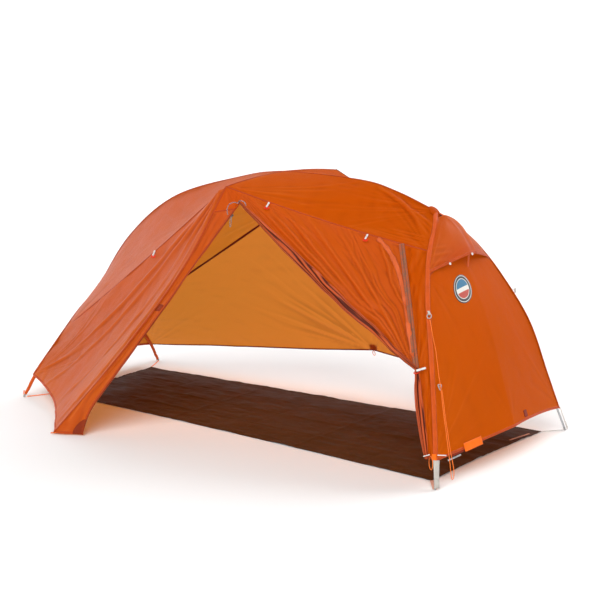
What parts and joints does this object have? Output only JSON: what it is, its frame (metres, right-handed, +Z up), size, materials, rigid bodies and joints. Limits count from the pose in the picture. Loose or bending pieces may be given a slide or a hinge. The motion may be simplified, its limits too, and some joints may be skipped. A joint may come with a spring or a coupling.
{
  "type": "one-person backpacking tent",
  "caption": "Low one-person tent: ripstop fly with open side door over a hubbed pole frame with brow pole, on a ground-sheet footprint.",
  "frame": {"origin": "on the ground, under the middle of the footprint", "axes": "+X from the foot end to the head end, -Y towards the door, +Z up"},
  "size_m": [2.4212, 1.4829, 1.1266],
  "materials": {
    "fly_cloth": "orange coated ripstop nylon",
    "footprint_cloth": "dark brown coated polyester",
    "pole_alloy": "anodised, satin",
    "tip_plastic": "matte",
    "hub_plastic": "matte",
    "grey_webbing": "woven webbing",
    "toggle_plastic": "matte",
    "zip_metal": "satin",
    "pull_cord": "reflective cord",
    "zip_tape": "coil zip on woven tape",
    "ring_plastic": "matte",
    "guy_cord": "braided cord"
  },
  "bodies": {
    "tent": {"fly_roof_near": "fly_cloth", "fly_roof_far": "fly_cloth", "fly_foot_roof_near": "fly_cloth", "fly_foot_roof_far": "fly_cloth", "fly_side_far": "fly_cloth", "fly_vestibule": "fly_cloth", "door_gathered": "fly_cloth", "fly_leg_panel_near": "fly_cloth", "fly_vent_hood": "fly_cloth", "fly_head_wall": "fly_cloth", "fly_foot_wall": "fly_cloth", "spine_section_1": "pole_alloy", "spine_section_2": "pole_alloy", "spine_section_3": "pole_alloy", "spine_section_4": "pole_alloy", "spine_ferrule_1": "pole_alloy", "spine_ferrule_2": "pole_alloy", "spine_ferrule_3": "pole_alloy", "head_leg_upper_near": "pole_alloy", "head_leg_lower_near": "pole_alloy", "head_leg_ferrule_near": "pole_alloy", "foot_leg_near": "pole_alloy", "brow_section_near": "pole_alloy", "head_leg_upper_far": "pole_alloy", "head_leg_lower_far": "pole_alloy", "head_leg_ferrule_far": "pole_alloy", "foot_leg_far": "pole_alloy", "brow_section_far": "pole_alloy", "brow_ferrule": "pole_alloy", "pole_tip_head_near": "tip_plastic", "pole_tip_head_far": "tip_plastic", "pole_tip_foot_near": "tip_plastic", "pole_tip_foot_far": "tip_plastic", "brow_tip_near": "tip_plastic", "brow_tip_far": "tip_plastic", "head_hub": "hub_plastic", "foot_hub": "hub_plastic", "brow_saddle": "hub_plastic", "corner_strap_head_near": "grey_webbing", "corner_strap_head_far": "grey_webbing", "corner_strap_foot_near": "grey_webbing", "corner_strap_foot_far": "grey_webbing", "footprint_strap_head_near": "grey_webbing", "footprint_strap_head_far": "grey_webbing", "footprint_strap_foot_near": "grey_webbing", "footprint_strap_foot_far": "grey_webbing", "footprint": "footprint_cloth", "edge_zip_tape": "zip_tape", "guy_ring_near": "ring_plastic", "guyline": "guy_cord"},
    "door_edge": {"door_strip": "fly_cloth"},
    "slider": {"zip_slider": "zip_metal"},
    "puller": {"zip_pull": "pull_cord"},
    "toggle_1": {"roof_toggle_1": "toggle_plastic"},
    "toggle_2": {"roof_toggle_2": "toggle_plastic"},
    "tie_toggle": {"tie_back_toggle": "toggle_plastic"},
    "vestibule_toggle_body": {"vestibule_toggle": "toggle_plastic"},
    "adjuster": {"guyline_adjuster": "ring_plastic"},
    "ring_far": {"guy_ring_far": "ring_plastic"},
    "prop": {"vent_prop": "grey_webbing"}
  },
  "joints": [
    {"name": "door_edge_fold", "type": "hinge", "parent": "tent", "child": "door_edge", "pos_m": [-0.026, -0.44, 0.972], "axis": [-0.4792, -0.3533, -0.8034], "range_deg": [-15, 20]},
    {"name": "zip_travel", "type": "slide", "parent": "door_edge", "child": "slider", "axis": [-0.4751, -0.3477, -0.8083], "range_m": [0, 0.94]},
    {"name": "zip_pull_swing", "type": "hinge", "parent": "slider", "child": "puller", "pos_m": [0.0556, -0.4171, 0.973], "axis": [1, 0, 0], "range_deg": [-60, 0]},
    {"name": "roof_toggle_1_swing", "type": "hinge", "parent": "tent", "child": "toggle_1", "pos_m": [0.2147, -0.35348, 1.04095], "axis": [-1, 0, 0], "range_deg": [0, 80]},
    {"name": "roof_toggle_2_swing", "type": "hinge", "parent": "tent", "child": "toggle_2", "pos_m": [0.6437, -0.24078, 0.92985], "axis": [-1, 0, 0], "range_deg": [0, 80]},
    {"name": "tie_back_toggle_swing", "type": "hinge", "parent": "tent", "child": "tie_toggle", "pos_m": [1.03162, -0.46515, 0.44345], "axis": [0.5531, -0.4375, -0.7089], "range_deg": [0, 80]},
    {"name": "vestibule_toggle_swing", "type": "hinge", "parent": "tent", "child": "vestibule_toggle_body", "pos_m": [-0.4501, -0.3417, 0.77115], "axis": [-1, 0, 0], "range_deg": [0, 80]},
    {"name": "adjuster_slide", "type": "slide", "parent": "tent", "child": "adjuster", "axis": [0.2822, -0.1881, -0.9407], "range_m": [0, 0.045]},
    {"name": "far_ring_swing", "type": "hinge", "parent": "tent", "child": "ring_far", "pos_m": [1.0128, 0.3471, 0.6522], "axis": [0.6606, -0.7507, 0], "range_deg": [0, 75]},
    {"name": "vent_prop_fold", "type": "hinge", "parent": "tent", "child": "prop", "pos_m": [0.98, 0, 0.792], "axis": [0, 1, 0], "range_deg": [0, 135]}
  ]
}
